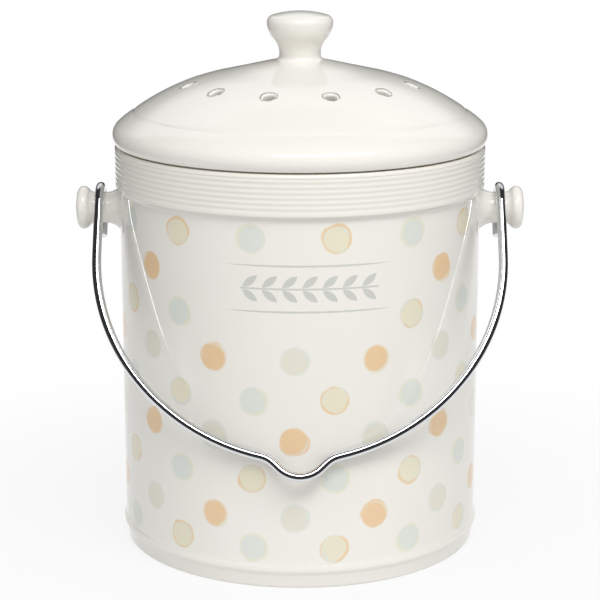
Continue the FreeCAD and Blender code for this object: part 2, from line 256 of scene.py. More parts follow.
slipped = add_node(tree, "ShaderNodeVectorMath", {0: from_spot, 1: slip}, operation="ADD")
under_reach = add_node(tree, "ShaderNodeVectorMath", {0: slipped}, operation="LENGTH")
under_edge = add_node(
    tree, "ShaderNodeMath", {0: under_reach.outputs["Value"], 1: wobbled}, operation="SUBTRACT"
)
under = add_node(
    tree,
    "ShaderNodeMapRange",
    {0: under_edge, 1: SPOT_UNDER_EDGE[0], 2: SPOT_UNDER_EDGE[1]},
    interpolation_type="SMOOTHSTEP",
)
line_off = add_node(tree, "ShaderNodeMath", {0: under_edge, 1: SPOT_LINE_RADIUS}, operation="SUBTRACT")
line_away = add_node(tree, "ShaderNodeMath", {0: line_off}, operation="ABSOLUTE")
stroke = add_node(tree, "ShaderNodeTexNoise", {"Vector": place, "Scale": 1 / 9, "Detail": 1})
stroke_width = add_node(tree, "ShaderNodeMapRange", {0: stroke, 1: 0.35, 2: 0.6, 3: -0.2, 4: 0.45})
stroke_left = add_node(tree, "ShaderNodeMath", {0: stroke_width, 1: line_away}, operation="SUBTRACT")
line = add_node(tree, "ShaderNodeMapRange", {0: stroke_left, 1: -0.5, 2: 0.5})
spot_fill = add_node(tree, "ShaderNodeValToRGB", {0: kind})
spot_under = add_node(tree, "ShaderNodeValToRGB", {0: kind})
spot_line = add_node(tree, "ShaderNodeValToRGB", {0: kind})
spot_colours = (
    (spot_fill, ("#E8E2CB", "#DEE2DB", "#E4E1D3", "#EACBA3")),
    (spot_under, ("#DEE2DB", "#E5E5D3", "#E0E3DA", "#E9E5D5")),
    (spot_line, ("#ECC997", "#E5E5D0", "#E0E3DA", "#EBC8A0")),
)
for ramp, codes in spot_colours:
    ramp.color_ramp.interpolation = "CONSTANT"
    for stop in (0.5, 0.75):
        ramp.color_ramp.elements.new(stop)
    for number, code in enumerate(codes):
        ramp.color_ramp.elements[number].position = number / 4
        ramp.color_ramp.elements[number].color = linear(code)

# Spots are left out over the label, beside the lugs, above the top row and at the seam.
step = add_node(tree, "ShaderNodeMath", {0: column, 1: half_step}, operation="ADD")
side_step = add_node(tree, "ShaderNodeMath", {0: step}, operation="ABSOLUTE")
label_columns = add_node(tree, "ShaderNodeMath", {0: side_step, 1: 1.25}, operation="LESS_THAN")
label_rows = add_node(tree, "ShaderNodeMath", {0: row, 1: 6.5, 2: 0.6}, operation="COMPARE")
at_label = add_node(tree, "ShaderNodeMath", {0: label_columns, 1: label_rows}, operation="MULTIPLY")
lug_columns = add_node(tree, "ShaderNodeMath", {0: side_step, 1: 3.57, 2: 0.62}, operation="COMPARE")
lug_rows = add_node(tree, "ShaderNodeMath", {0: row, 1: 6.5}, operation="GREATER_THAN")
at_lug = add_node(tree, "ShaderNodeMath", {0: lug_columns, 1: lug_rows}, operation="MULTIPLY")
too_high = add_node(tree, "ShaderNodeMath", {0: row, 1: 8.5}, operation="GREATER_THAN")
at_seam = add_node(tree, "ShaderNodeMath", {0: step, 1: -6.75}, operation="LESS_THAN")
covered = add_node(tree, "ShaderNodeMath", {0: at_label, 1: at_lug}, operation="MAXIMUM")
past_end = add_node(tree, "ShaderNodeMath", {0: too_high, 1: at_seam}, operation="MAXIMUM")
left_out = add_node(tree, "ShaderNodeMath", {0: covered, 1: past_end}, operation="MAXIMUM")
shown = add_node(tree, "ShaderNodeMath", {0: 1, 1: left_out}, operation="SUBTRACT")
ring_dice = add_node(tree, "ShaderNodeMath", {0: dice.outputs["Value"], 1: 0.3}, operation="GREATER_THAN")
ring = add_node(tree, "ShaderNodeMath", {0: line, 1: ring_dice}, operation="MULTIPLY")
for mask, ramp in ((under, spot_under), (fill, spot_fill), (ring, spot_line)):
    printed = add_node(tree, "ShaderNodeMath", {0: mask, 1: shown}, operation="MULTIPLY")
    colour = add_node(tree, "ShaderNodeMix", {0: printed, 6: colour, 7: ramp}, data_type="RGBA")

# Label: two brushed rules that thin out at their ends, and a plain leaf sprig between them.
LABEL_MIDDLE = 131.3
LABEL_HALF_HEIGHT = 9.7
LABEL_HALF_LENGTH = 35.5
LABEL_TURN = math.radians(3)
LEAF_PITCH = 8.4
LEAF_TILT = math.radians(38)
LEAF_RISE = 3.0
LEAF_HALF_LENGTH = 4.1
LEAF_HALF_WIDTH = 1.6
STEM_HALF_WIDTH = 0.4
LEAF_PAIRS = 7
from_label = add_node(tree, "ShaderNodeMath", {0: angle, 1: LABEL_TURN}, operation="SUBTRACT")
reach = add_node(tree, "ShaderNodeMath", {0: from_label, 1: WALL_RADIUS}, operation="MULTIPLY")
label_up = add_node(tree, "ShaderNodeMath", {0: height, 1: LABEL_MIDDLE}, operation="SUBTRACT")
label_away = add_node(tree, "ShaderNodeMath", {0: label_up}, operation="ABSOLUTE")
rule_up = add_node(tree, "ShaderNodeMath", {0: label_away, 1: LABEL_HALF_HEIGHT}, operation="SUBTRACT")
rule_away = add_node(tree, "ShaderNodeMath", {0: rule_up}, operation="ABSOLUTE")
reach_share = add_node(tree, "ShaderNodeMath", {0: reach, 1: LABEL_HALF_LENGTH}, operation="DIVIDE")
taper_square = add_node(tree, "ShaderNodeMath", {0: reach_share, 1: reach_share}, operation="MULTIPLY")
taper_fourth = add_node(tree, "ShaderNodeMath", {0: taper_square, 1: taper_square}, operation="MULTIPLY")
taper = add_node(tree, "ShaderNodeMath", {0: 1, 1: taper_fourth}, operation="SUBTRACT")
bristle = add_node(tree, "ShaderNodeTexNoise", {"Vector": place, "Scale": 1 / 2.5, "Detail": 2})
brushed = add_node(tree, "ShaderNodeMapRange", {0: bristle, 1: 0.25, 2: 0.75, 3: 0.32, 4: 0.5})
rule_width = add_node(tree, "ShaderNodeMath", {0: taper, 1: brushed}, operation="MULTIPLY")
rule_left = add_node(tree, "ShaderNodeMath", {0: rule_width, 1: rule_away}, operation="SUBTRACT")
rule = add_node(tree, "ShaderNodeMapRange", {0: rule_left, 1: -0.1, 2: 0.12})
leaves_on = add_node(tree, "ShaderNodeMath", {0: reach, 1: LEAF_PITCH}, operation="DIVIDE")
leaf_number = add_node(tree, "ShaderNodeMath", {0: leaves_on}, operation="ROUND")
off_leaf = add_node(tree, "ShaderNodeMath", {0: leaves_on, 1: leaf_number}, operation="SUBTRACT")
leaf_along = add_node(tree, "ShaderNodeMath", {0: off_leaf, 1: LEAF_PITCH}, operation="MULTIPLY")
leaf_up = add_node(tree, "ShaderNodeMath", {0: label_away, 1: LEAF_RISE}, operation="SUBTRACT")
leaf_place = add_node(tree, "ShaderNodeCombineXYZ", {0: leaf_along, 1: leaf_up})
leaf_turned = add_node(
    tree, "ShaderNodeVectorRotate", {"Vector": leaf_place, "Angle": -LEAF_TILT}, rotation_type="Z_AXIS"
)
leaf_axes = add_node(tree, "ShaderNodeSeparateXYZ", {0: leaf_turned})
leaf_length = add_node(
    tree, "ShaderNodeMath", {0: leaf_axes.outputs["X"], 1: LEAF_HALF_LENGTH}, operation="DIVIDE"
)
leaf_bulge = add_node(tree, "ShaderNodeMath", {0: leaf_length, 1: leaf_length}, operation="MULTIPLY")
leaf_half = add_node(
    tree,
    "ShaderNodeMath",
    {0: leaf_bulge, 1: -LEAF_HALF_WIDTH, 2: LEAF_HALF_WIDTH},
    operation="MULTIPLY_ADD",
)
leaf_side = add_node(tree, "ShaderNodeMath", {0: leaf_axes.outputs["Y"]}, operation="ABSOLUTE")
leaf_left = add_node(tree, "ShaderNodeMath", {0: leaf_half, 1: leaf_side}, operation="SUBTRACT")
leaf = add_node(tree, "ShaderNodeMapRange", {0: leaf_left, 1: -0.1, 2: 0.15})
stem_left = add_node(tree, "ShaderNodeMath", {0: STEM_HALF_WIDTH, 1: label_away}, operation="SUBTRACT")
stem = add_node(tree, "ShaderNodeMapRange", {0: stem_left, 1: -0.1, 2: 0.12})
sprig = add_node(tree, "ShaderNodeMath", {0: leaf, 1: stem}, operation="MAXIMUM")
sprig_reach = add_node(tree, "ShaderNodeMath", {0: reach}, operation="ABSOLUTE")
sprig_inside = add_node(
    tree, "ShaderNodeMath", {0: sprig_reach, 1: LEAF_PAIRS / 2 * LEAF_PITCH}, operation="LESS_THAN"
)
sprig_shown = add_node(tree, "ShaderNodeMath", {0: sprig, 1: sprig_inside}, operation="MULTIPLY")
label = add_node(tree, "ShaderNodeMath", {0: rule, 1: sprig_shown}, operation="MAXIMUM")
colour = add_node(
    tree, "ShaderNodeMix", {0: label, 6: colour, 7: linear("#CDCFC8")}, data_type="RGBA"
)

# Glaze runs into the grooves between the ribs, where it is thicker and warmer; the darker colour in the
# grooves is partly this pooled glaze and partly painted shade.
flat_place = add_node(tree, "ShaderNodeVectorMath", {0: place, 1: (1, 1, 0)}, operation="MULTIPLY")
from_axis = add_node(tree, "ShaderNodeVectorMath", {0: flat_place}, operation="LENGTH")
groove = add_node(
    tree,
    "ShaderNodeMapRange",
    {0: from_axis.outputs["Value"], 1: BAND_RADIUS - 0.01, 2: BAND_RADIUS - 0.15, 3: 0, 4: 0.3},
)
in_band = add_node(tree, "ShaderNodeMath", {0: height, 1: BAND_BOTTOM}, operation="GREATER_THAN")
pooled_and_shaded = add_node(tree, "ShaderNodeMath", {0: groove, 1: in_band}, operation="MULTIPLY")
colour = add_node(
    tree, "ShaderNodeMix", {0: pooled_and_shaded, 6: colour, 7: linear("#E2DDD0")}, data_type="RGBA"
)
tree.links.new(colour.outputs[2], shader.inputs["Base Color"])

plain_glaze, tree, shader, place, colour = cream_glaze("plain_cream_glaze")
tree.links.new(colour.outputs[2], shader.inputs["Base Color"])

# Bare earthenware under the foot: fired clay with no glaze, matt and finely gritty.
bare_clay = bpy.data.materials.new("bare_earthenware")
bare_clay.use_nodes = True
tree = bare_clay.node_tree
shader = tree.nodes["Principled BSDF"]
shader.inputs["Roughness"].default_value = 0.85
coordinates = add_node(tree, "ShaderNodeTexCoord")
grit = add_node(
    tree, "ShaderNodeTexNoise", {"Vector": coordinates.outputs["Object"], "Scale": 1000 / 0.8, "Detail": 3}
)
colour = add_node(
    tree, "ShaderNodeMix", {0: grit, 6: linear("#DDD2BF"), 7: linear("#C9BBA4")}, data_type="RGBA"
)
tree.links.new(colour.outputs[2], shader.inputs["Base Color"])
bump = add_node(tree, "ShaderNodeBump", {"Height": grit, "Strength": 0.4, "Distance": 0.0002})
tree.links.new(bump.outputs[0], shader.inputs["Normal"])
for material in (printed_glaze, plain_glaze, bare_clay):
    crock.data.materials.append(material)
for face in crock.data.polygons:
    radius = math.hypot(face.center.x, face.center.y) * 1000
    if radius < PRINT_INNER:
        face.material_index = 1
    if face.center.z < 0.0002:
        face.material_index = 2
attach(crock, "crock")
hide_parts("crock_body")

# LUGS
# Two solid clay posts with a mushroom head, turned and luted to the wall with slip before glazing.
# The bail's eyes hang on their necks.
LUG_HEIGHT = 150.0
NECK_START = 86.3
NECK_END = 91.1
NECK_RADIUS = 6.9
ROOT_SWEEP = 7.8
HEAD_HOLLOW = 3.6
HEAD_ROUND = 2.8
CROWN_RADIUS = 32.1
LUG_STEPS = 72


def arc(centre, radius, start, end, steps):
    """Round stretch of an outline, from one angle to another in degrees."""
    turns = [math.radians(start + (end - start) * step / steps) for step in range(steps + 1)]
    return [(centre[0] + radius * math.cos(turn), centre[1] + radius * math.sin(turn)) for turn in turns]


lug_outline = [(12.4, 78.6), (11.9, 79.6)]
lug_outline += arc((NECK_RADIUS + ROOT_SWEEP, NECK_START), ROOT_SWEEP, 236, 180, 14)
lug_outline += [(NECK_RADIUS, (NECK_START + NECK_END) / 2)]
lug_outline += arc((NECK_RADIUS + HEAD_HOLLOW, NECK_END), HEAD_HOLLOW, 180, 125.3, 8)
lug_outline += arc((6.8, 96.32), HEAD_ROUND, -54.7, 76.6, 14)[1:]
lug_outline += arc((0, 67.82), CROWN_RADIUS, 76.6, 90, 8)[1:]
right_lug = turned_piece("right_lug", lug_outline, LUG_STEPS)
bpy.ops.object.mode_set(mode="EDIT")
bpy.ops.mesh.select_all(action="SELECT")
bpy.ops.transform.rotate(value=-math.pi / 2, orient_axis="Y", center_override=(0, 0, 0))
bpy.ops.object.mode_set(mode="OBJECT")

# The root follows the round of the wall, and the post is lifted to its place.
for vertex in right_lug.data.vertices:
    if vertex.co.x * 1000 < NECK_START:
        low_share = min((NECK_START - vertex.co.x * 1000) / (NECK_START - WALL_RADIUS), 1)
        fall = WALL_RADIUS - math.sqrt(WALL_RADIUS ** 2 - (vertex.co.y * 1000) ** 2)
        vertex.co.x -= low_share * fall / 1000
    vertex.co.z += LUG_HEIGHT / 1000
right_lug.data.materials.append(plain_glaze)
left_lug = right_lug.copy()
left_lug.data = right_lug.data.copy()
left_lug.name = "left_lug"
left_lug.data.name = "left_lug"
bpy.context.collection.objects.link(left_lug)
for vertex in left_lug.data.vertices:
    vertex.co.x = -vertex.co.x
for lug, node in ((right_lug, "right_lug"), (left_lug, "left_lug")):
    bpy.ops.object.select_all(action="DESELECT")
    lug.select_set(True)
    bpy.context.view_layer.objects.active = lug
    bpy.ops.object.mode_set(mode="EDIT")
    bpy.ops.mesh.select_all(action="SELECT")
    bpy.ops.mesh.normals_make_consistent(inside=False)
    bpy.ops.object.mode_set(mode="OBJECT")
    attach(lug, "crock")
    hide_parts(node)

# LID
# Slip-cast earthenware dome with a rolled rim, a small step and twelve air vents punched through while the
# clay was soft, glazed like the crock. A skirt under it drops inside the crock's rim.
VENT_COUNT = 12
VENT_RADIUS = 2.5
VENT_RING = 3
VENT_ROUND = 1.1
BLEND_START = 3.5
BLEND_END = 6.5
LID_STEPS = 360
DOME_CENTRE = (14.4, 110.19)
DOME_RADIUS = 102.69
DOME_HOLLOW = 97.69
DOME_START = 56.0
HOLLOW_START = 61.84
VENT_TURN = 69.6
DOME_ROW = 0.5
CONE_ROWS = 16
HOLLOW_HEIGHT = 210.56
PEAK_HEIGHT = 216.35
SKIRT_OUTER = 73.8
SKIRT_INNER = 69.3
SKIRT_BOTTOM = 168.0
LEDGE_HEIGHT = 188.0
LEDGE_INNER = 60.5
SEAT_TOP = 180.0
ROLL_CENTRE = (76.45, 183.95)
ROLL_RADIUS = 6.4
SLOPE_CENTRE = (59.909, 167.117)
SLOPE_RADIUS = 30.0
DOME_BOTTOM = 190.0
lid_outline = [(0, HOLLOW_HEIGHT), (8, HOLLOW_HEIGHT), (13, HOLLOW_HEIGHT - 0.2), (24, 208.12)]
lid_outline += arc(DOME_CENTRE, DOME_HOLLOW, VENT_TURN + CONE_ROWS * DOME_ROW, VENT_TURN, CONE_ROWS)
rows = int((VENT_TURN - HOLLOW_START) / DOME_ROW)
lid_outline += arc(DOME_CENTRE, DOME_HOLLOW, VENT_TURN, VENT_TURN - rows * DOME_ROW, rows)[1:]
lid_outline += rounded(
    [
        (60.9, 195.5, 0),
        (LEDGE_INNER, LEDGE_HEIGHT, 0.8),
        (SKIRT_INNER, LEDGE_HEIGHT, 1.2),
        (SKIRT_INNER, 182.0, 0),
        (SKIRT_INNER, 172.0, 0),
        (SKIRT_INNER, SKIRT_BOTTOM, 1.5),
        (SKIRT_OUTER, SKIRT_BOTTOM, 1.5),
        (SKIRT_OUTER, 171.0, 0),
        (SKIRT_OUTER, 177.0, 0),
        (SKIRT_OUTER, RIM_HEIGHT, 0.5),
        (78.5, RIM_HEIGHT, 0.2),
        (79.0, 179.9, 0.2),
        (80.6, 179.9, 0),
    ]
)
lid_outline += arc(ROLL_CENTRE, ROLL_RADIUS, -39.3, 45.5, 16)[1:]
lid_outline += arc(SLOPE_CENTRE, SLOPE_RADIUS, 45.5, 61, 8)[1:]
dome_edge = arc(DOME_CENTRE, DOME_RADIUS, DOME_START, VENT_TURN, 1)[0]
small_step = [lid_outline[-1] + (0,), (73.6, 193.75, 0.8), (72.75, 194.65, 0.9), dome_edge + (0,)]
lid_outline += rounded(small_step)[1:-1]
rows = int((VENT_TURN - DOME_START) / DOME_ROW)
lid_outline += arc(DOME_CENTRE, DOME_RADIUS, VENT_TURN - rows * DOME_ROW, VENT_TURN, rows)
lid_outline += arc(DOME_CENTRE, DOME_RADIUS, VENT_TURN, VENT_TURN + CONE_ROWS * DOME_ROW, CONE_ROWS)[1:]
lid_outline += [(24, 213.25), (10, PEAK_HEIGHT), (0, PEAK_HEIGHT)]
lid = turned_piece("lid", lid_outline, LID_STEPS)

# Round each vent's middle the mesh's square rings are drawn into circles, the faces inside are taken out
# on both sides of the shell, and the two edges are joined through the wall and softened.
for material in (plain_glaze, bare_clay):
    lid.data.materials.append(material)
for face in lid.data.polygons:
    off_axis = math.hypot(face.center.x, face.center.y) * 1000
    face.material_index = int(off_axis > SKIRT_OUTER + 0.1 and face.center.z * 1000 < SEAT_TOP)
pitch = 360 / VENT_COUNT
vent_middle = math.radians(VENT_TURN)
ring_step = VENT_RADIUS / VENT_RING


def dome_place(point):
    """Steps from the nearest vent's middle along the ring and up the dome, and the depth in the shell."""
    turn = math.degrees(math.atan2(point.y, point.x))
    ring_turn = (turn + 90) % pitch - pitch / 2
    out = math.hypot(point.x, point.y) * 1000 - DOME_CENTRE[0]
    up = point.z * 1000 - DOME_CENTRE[1]
    return ring_turn, math.degrees(math.atan2(up, out)) - VENT_TURN, math.hypot(out, up)


def smooth_step(start, end, value):
    """0 at start and 1 at end, with an even curve between them."""
    share = min(max((value - start) / (end - start), 0.0), 1.0)
    return share * share * (3 - 2 * share)


for vertex in lid.data.vertices:
    around, upward, depth = dome_place(vertex.co)
    if depth < DOME_HOLLOW - 1 or depth > DOME_RADIUS + 1 or vertex.co.z * 1000 < DOME_BOTTOM:
        continue
    square = max(abs(around), abs(upward) / DOME_ROW)
    if square > BLEND_END or square < 0.1:
        continue
    slope = Vector((around, upward / DOME_ROW))
    circle = slope.normalized() * square * ring_step
    ring_radius = DOME_CENTRE[0] + depth * math.cos(vent_middle + math.radians(upward))
    flat = Vector((math.radians(around) * ring_radius, math.radians(upward) * depth))
    share = smooth_step(BLEND_END, BLEND_START, square)
    new = flat.lerp(circle, share)
    turn = math.atan2(vertex.co.y, vertex.co.x)
    turn += new.x / ring_radius - math.radians(around)
    lift = vent_middle + new.y / depth
    out = (DOME_CENTRE[0] + depth * math.cos(lift)) / 1000
    up = (DOME_CENTRE[1] + depth * math.sin(lift)) / 1000
    vertex.co = (out * math.cos(turn), out * math.sin(turn), up)

for face in lid.data.polygons:
    around, upward, depth = dome_place(face.center)
    ring_radius = math.hypot(face.center.x, face.center.y) * 1000
    from_vent = math.hypot(math.radians(around) * ring_radius, math.radians(upward) * depth)
    face.select = from_vent < VENT_RADIUS and DOME_HOLLOW - 1 < depth < DOME_RADIUS + 1
bpy.context.tool_settings.mesh_select_mode = (False, False, True)
bpy.ops.object.mode_set(mode="EDIT")
bpy.ops.mesh.delete(type="FACE")
bpy.ops.mesh.select_mode(type="EDGE")
bpy.ops.mesh.select_non_manifold(extend=False)
bpy.ops.mesh.bridge_edge_loops(type="PAIRS", number_cuts=3)
bpy.ops.mesh.select_all(action="DESELECT")
bpy.ops.object.mode_set(mode="OBJECT")


def on_vent_edge(point):
    """Whether a point lies on the edge of a vent, outside or inside the shell."""
    around, upward, depth = dome_place(point)
    ring_radius = math.hypot(point.x, point.y) * 1000
    from_vent = math.hypot(math.radians(around) * ring_radius, math.radians(upward) * depth)
    off_skin = min(abs(depth - DOME_RADIUS), abs(depth - DOME_HOLLOW))
    return abs(from_vent - VENT_RADIUS) < 0.1 and off_skin < 0.3


for edge in lid.data.edges:
    edge.select = all(on_vent_edge(lid.data.vertices[number].co) for number in edge.vertices)
bpy.ops.object.mode_set(mode="EDIT")
bpy.ops.mesh.bevel(offset=VENT_ROUND / 1000, segments=5, affect="EDGES")
bpy.ops.object.mode_set(mode="OBJECT")
bpy.ops.object.shade_smooth()
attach(lid, "lid")
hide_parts("lid_shell")

# KNOB
# Solid clay knob with a waist to grip and a shallow crown. Turned on its own, luted to the top of the dome
# with slip, and glazed with the lid in one dip.
KNOB_NECK = 218.4
KNOB_WIDEST = 232.53
FOOT_FILLET = 2.4
WAIST_RADIUS = 10.54
BELLY_RADIUS = 10.5
SHOULDER_RADIUS = 3.2
CAP_RADIUS = 44.25
KNOB_STEPS = 120
knob_outline = [(0, PEAK_HEIGHT - 1), (10.9, PEAK_HEIGHT - 1)]
knob_outline += arc((11.5, KNOB_NECK), FOOT_FILLET, 257.5, 180, 8)
knob_outline += arc((19.64, KNOB_NECK), WAIST_RADIUS, 180, 137.8, 10)[1:]
knob_outline += arc((4.05, KNOB_WIDEST), BELLY_RADIUS, -42.2, 0, 10)[1:]
knob_outline += arc((11.35, KNOB_WIDEST), SHOULDER_RADIUS, 0, 74, 12)[1:]
knob_outline += arc((0, KNOB_WIDEST - 39.45), CAP_RADIUS, 74, 90, 8)[1:]
knob = turned_piece("knob", knob_outline, KNOB_STEPS)
knob.data.materials.append(plain_glaze)
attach(knob, "lid")
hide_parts("lid_knob")

# BAIL
# One length of 4 mm steel wire, bent cold on a jig into two eyes, two arms, a bow and a V for the fingers,
# and then chrome plated. The eyes are sprung over the lugs' necks. The wire is the CAD solid itself.

# Chrome plate, bright: a mirror with a faint blue-grey cast, hazed a little by the drag of the jig.
bail_chrome = bpy.data.materials.new("bright_chrome_plate")
bail_chrome.use_nodes = True
tree = bail_chrome.node_tree
shader = tree.nodes["Principled BSDF"]
shader.inputs["Metallic"].default_value = 1
coordinates = add_node(tree, "ShaderNodeTexCoord")
haze = add_node(
    tree, "ShaderNodeTexNoise", {"Vector": coordinates.outputs["Object"], "Scale": 1000 / 6, "Detail": 3}
)
tone = add_node(
    tree, "ShaderNodeMix", {0: haze, 6: linear("#E3E4E8"), 7: linear("#D6D8DC")}, data_type="RGBA"
)
tree.links.new(tone.outputs[2], shader.inputs["Base Color"])
rough = add_node(tree, "ShaderNodeMapRange", {0: haze, 3: 0.04, 4: 0.1})
tree.links.new(rough.outputs[0], shader.inputs["Roughness"])
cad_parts["bail_handle"].data.materials[0] = bail_chrome

# FILTER HOLDER
# Injection-moulded polypropylene ring with an inward flange, bonded against the ledge under the lid.
# The cover pushes into it from below.
HOLDER_OUTER = 68.9
HOLDER_INNER = 66.7
HOLDER_BOTTOM = 174.0
FLANGE_BOTTOM = 186.0
RING_STEPS = 180
holder = turned_piece(
    "filter_holder_ring",
    rounded(
        [
            (64, LEDGE_HEIGHT, 0),
            (67, LEDGE_HEIGHT, 0),
            (HOLDER_OUTER, LEDGE_HEIGHT, 0.6),
            (HOLDER_OUTER, 184, 0),
            (HOLDER_OUTER, 178, 0),
            (HOLDER_OUTER, HOLDER_BOTTOM, 0.7),
            (HOLDER_INNER, HOLDER_BOTTOM, 0.9),
            (HOLDER_INNER, 177, 0),
            (HOLDER_INNER, 184, 0),
            (HOLDER_INNER, FLANGE_BOTTOM, 0.8),
            (62.5, FLANGE_BOTTOM, 0),
            (LEDGE_INNER, FLANGE_BOTTOM, 0.6),
            (LEDGE_INNER, LEDGE_HEIGHT, 0.6),
            (62, LEDGE_HEIGHT, 0),
            (64, LEDGE_HEIGHT, 0),
        ]
    ),
    RING_STEPS,
)

# Polypropylene, moulded satin: off-white and a little waxy, with the fine spark texture of the mould.
satin_plastic = bpy.data.materials.new("satin_polypropylene")
satin_plastic.use_nodes = True
tree = satin_plastic.node_tree
shader = tree.nodes["Principled BSDF"]
shader.inputs["IOR"].default_value = 1.49
coordinates = add_node(tree, "ShaderNodeTexCoord")
flow = add_node(
    tree, "ShaderNodeTexNoise", {"Vector": coordinates.outputs["Object"], "Scale": 1000 / 25, "Detail": 2}
)
tone = add_node(
    tree, "ShaderNodeMix", {0: flow, 6: linear("#E4E1D8"), 7: linear("#DAD6CB")}, data_type="RGBA"
)
tree.links.new(tone.outputs[2], shader.inputs["Base Color"])
spark = add_node(
    tree, "ShaderNodeTexNoise", {"Vector": coordinates.outputs["Object"], "Scale": 1000 / 0.6, "Detail": 2}
)
rough = add_node(tree, "ShaderNodeMapRange", {0: spark, 3: 0.36, 4: 0.52})
tree.links.new(rough.outputs[0], shader.inputs["Roughness"])
bump = add_node(tree, "ShaderNodeBump", {"Height": spark, "Strength": 0.15, "Distance": 0.0001})
tree.links.new(bump.outputs[0], shader.inputs["Normal"])
holder.data.materials.append(satin_plastic)
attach(holder, "lid")
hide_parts("filter_holder")

# FILTER PAD
# Disc die-cut from needled felt that is loaded with activated carbon. It lies loose in the cover's tray and
# is replaced when it stops taking up smells.
PAD_RADIUS = 63.9
PAD_BOTTOM = 176.5
PAD_TOP = 185.4
PAD_STEPS = 160
pad_corners = [(0, PAD_BOTTOM, 0)]
pad_corners += [(radius, PAD_BOTTOM, 0) for radius in range(3, 62, 3)]
pad_corners += [(PAD_RADIUS, PAD_BOTTOM, 0.8), (63.5, 181, 0), (PAD_RADIUS, 185.2, 1.6)]
pad_corners += [(radius, PAD_TOP, 0) for radius in range(60, 2, -3)]
pad_corners += [(0, PAD_TOP, 0)]
pad = turned_piece("carbon_pad", rounded(pad_corners), PAD_STEPS)
lumps = bpy.data.textures.new("felt_lumps", "CLOUDS")
lumps.noise_scale = 0.006
bpy.ops.object.modifier_add(type="DISPLACE")
uneven = pad.modifiers[0]
uneven.texture = lumps
uneven.strength = 0.0003
uneven.mid_level = 0.9
bpy.ops.object.modifier_apply(modifier=uneven.name)

# Carbon felt, needled: matt black fibres at all angles with grey carbon dust between them. The fibres are
# drawn 0.8 mm apart, coarser than the real 0.1 mm, so that they show.
carbon_felt = bpy.data.materials.new("carbon_felt")
carbon_felt.use_nodes = True
tree = carbon_felt.node_tree
shader = tree.nodes["Principled BSDF"]
shader.inputs["Roughness"].default_value = 0.95
shader.inputs["Sheen Weight"].default_value = 0.25
shader.inputs["Sheen Roughness"].default_value = 0.5
coordinates = add_node(tree, "ShaderNodeTexCoord")
tangle = add_node(
    tree,
    "ShaderNodeTexNoise",
    {"Vector": coordinates.outputs["Object"], "Scale": 1000 / 0.8, "Detail": 4, "Distortion": 3},
)
dust = add_node(
    tree, "ShaderNodeTexNoise", {"Vector": coordinates.outputs["Object"], "Scale": 1000 / 9, "Detail": 3}
)
fibre = add_node(
    tree, "ShaderNodeMix", {0: tangle, 6: linear("#151517"), 7: linear("#47474B")}, data_type="RGBA"
)
dusty = add_node(tree, "ShaderNodeMapRange", {0: dust, 1: 0.4, 2: 0.8, 3: 0, 4: 0.5})
tone = add_node(
    tree, "ShaderNodeMix", {0: dusty, 6: fibre.outputs[2], 7: linear("#3A3A3D")}, data_type="RGBA"
)
tree.links.new(tone.outputs[2], shader.inputs["Base Color"])
bump = add_node(tree, "ShaderNodeBump", {"Height": tangle, "Strength": 0.8, "Distance": 0.0005})
tree.links.new(bump.outputs[0], shader.inputs["Normal"])
pad.data.materials.append(carbon_felt)
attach(pad, "pad")
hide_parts("charcoal_filter")

# FILTER COVER
# Injection-moulded polypropylene tray with a barred floor that lets the air through, and a rib to pull it
# down by. It holds the pad up in the lid.
BAR_PITCH = 8.0
BAR_WIDTH = 4.0
BAR_DEPTH = 2.44
BAR_COUNT = 14
PULL_RIB_SIZE = (3, 44, 8.2)
PULL_RIB_HEIGHT = 171.1
OPENING_RADIUS = 58.3
TRAY_OUTER = 66.3
TRAY_INNER = 64.3
TRAY_TOP = 185.7
cover = turned_piece(
    "filter_cover_tray",
    rounded(
        [
            (62, HOLDER_BOTTOM, 0),
            (TRAY_OUTER, HOLDER_BOTTOM, 0.8),
            (TRAY_OUTER, 178, 0),
            (TRAY_OUTER, 182, 0),
            (TRAY_OUTER, TRAY_TOP, 0.6),
            (TRAY_INNER, TRAY_TOP, 0.6),
            (TRAY_INNER, 182, 0),
            (TRAY_INNER, 178, 0),
            (TRAY_INNER, PAD_BOTTOM, 0.6),
            (62, PAD_BOTTOM, 0),
            (OPENING_RADIUS, PAD_BOTTOM, 0.5),
            (OPENING_RADIUS, HOLDER_BOTTOM, 0.5),
            (62, HOLDER_BOTTOM, 0),
        ]
    ),
    RING_STEPS,
)


def moulded_bar(name, size, middle, edge_round):
    """Straight bar of a size in mm about a middle point, with its edges rounded."""
    bpy.ops.object.select_all(action="DESELECT")
    bpy.ops.mesh.primitive_cube_add(size=0.001)
    bar = bpy.context.object
    bar.name = name
    bar.data.name = name
    bpy.ops.object.mode_set(mode="EDIT")
    bpy.ops.mesh.select_all(action="SELECT")
    bpy.ops.transform.resize(value=size)
    bpy.ops.transform.translate(value=[length / 1000 for length in middle])
    bpy.ops.mesh.bevel(offset=edge_round / 1000, segments=3, affect="EDGES")
    bpy.ops.object.mode_set(mode="OBJECT")
    return bar


bars = [moulded_bar("pull_rib", PULL_RIB_SIZE, (0, 0, PULL_RIB_HEIGHT), 0.9)]
bar_height = (HOLDER_BOTTOM + PAD_BOTTOM) / 2
for number in range(BAR_COUNT):
    middle = (number + 0.5 - BAR_COUNT / 2) * BAR_PITCH
    half_bar = math.sqrt(OPENING_RADIUS ** 2 - (abs(middle) - BAR_WIDTH / 2) ** 2) + 1.5
    bars.append(moulded_bar("bar", (2 * half_bar, BAR_WIDTH, BAR_DEPTH), (0, middle, bar_height), 0.4))
for bar in bars:
    bpy.ops.object.select_all(action="DESELECT")
    bpy.context.view_layer.objects.active = cover
    cover.select_set(True)
    bpy.ops.object.modifier_add(type="BOOLEAN")
    weld = cover.modifiers[0]
    weld.operation = "UNION"
    weld.solver = "EXACT"
    weld.object = bar
    bpy.ops.object.modifier_apply(modifier=weld.name)
    bpy.data.objects.remove(bar)
